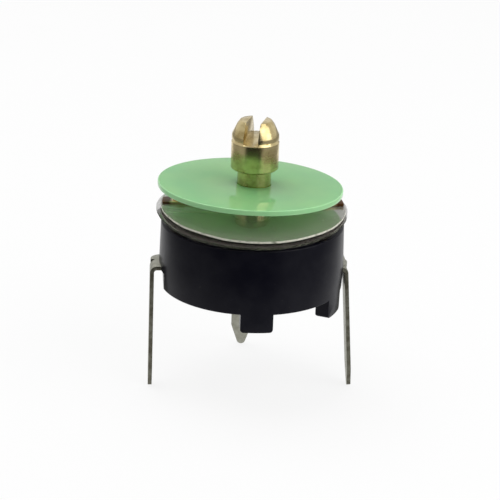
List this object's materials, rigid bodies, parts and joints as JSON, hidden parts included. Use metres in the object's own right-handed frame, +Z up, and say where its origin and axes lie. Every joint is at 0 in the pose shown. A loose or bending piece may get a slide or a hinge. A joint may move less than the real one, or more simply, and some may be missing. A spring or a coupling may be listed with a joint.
{
  "type": "trimmer capacitor",
  "caption": "Through-hole film trimmer capacitor with a slotted brass adjuster, interleaved brass plates and films in a black cup, and a green cover disc.",
  "frame": {"origin": "rotor axis at the plane the feet stand on, which is the circuit board's upper face", "axes": "+Z up along the rotor axis to the adjuster head; +X towards the right stator lead; +Y towards the rotor lead"},
  "size_m": [0.0106, 0.01, 0.0142],
  "materials": {
    "base_plastic": "satin moulded black plastic",
    "tinned_lead": "dull tin plate",
    "plate_brass": "rolled sheet",
    "turned_brass": "turned, fine tool marks",
    "clear_film": "glossy clear film",
    "green_disc": "glossy translucent green sheet",
    "spring_steel": "bright"
  },
  "bodies": {
    "stator": {"base": "base_plastic", "stator_lead_left": "tinned_lead", "stator_lead_right": "tinned_lead", "rotor_lead": "tinned_lead", "stator_post_left": "turned_brass", "stator_spacer_left_1": "turned_brass", "stator_spacer_left_2": "turned_brass", "stator_spacer_left_3": "turned_brass", "stator_spacer_left_4": "turned_brass", "stator_post_right": "turned_brass", "stator_spacer_right_1": "turned_brass", "stator_spacer_right_2": "turned_brass", "stator_spacer_right_3": "turned_brass", "stator_spacer_right_4": "turned_brass", "stator_vane_1": "plate_brass", "stator_vane_2": "plate_brass", "stator_vane_3": "plate_brass", "stator_vane_4": "plate_brass", "stator_vane_5": "plate_brass", "film_1": "clear_film", "film_2": "clear_film", "film_3": "clear_film", "film_4": "clear_film", "film_5": "clear_film", "film_6": "clear_film", "film_7": "clear_film", "film_rim": "clear_film", "film_top": "clear_film"},
    "rotor": {"spindle": "turned_brass", "rotor_vane_1": "plate_brass", "rotor_vane_2": "plate_brass", "rotor_vane_3": "plate_brass", "rotor_vane_4": "plate_brass", "rotor_spacer_1": "turned_brass", "rotor_spacer_2": "turned_brass", "rotor_spacer_3": "turned_brass", "cover_disc": "green_disc", "spring_washer": "spring_steel", "retaining_washer": "plate_brass"}
  },
  "joints": [
    {"name": "rotor_spin", "type": "hinge", "parent": "stator", "child": "rotor", "pos_m": [0, 0, 0.0018], "axis": [0, 0, 1], "continuous": true}
  ]
}
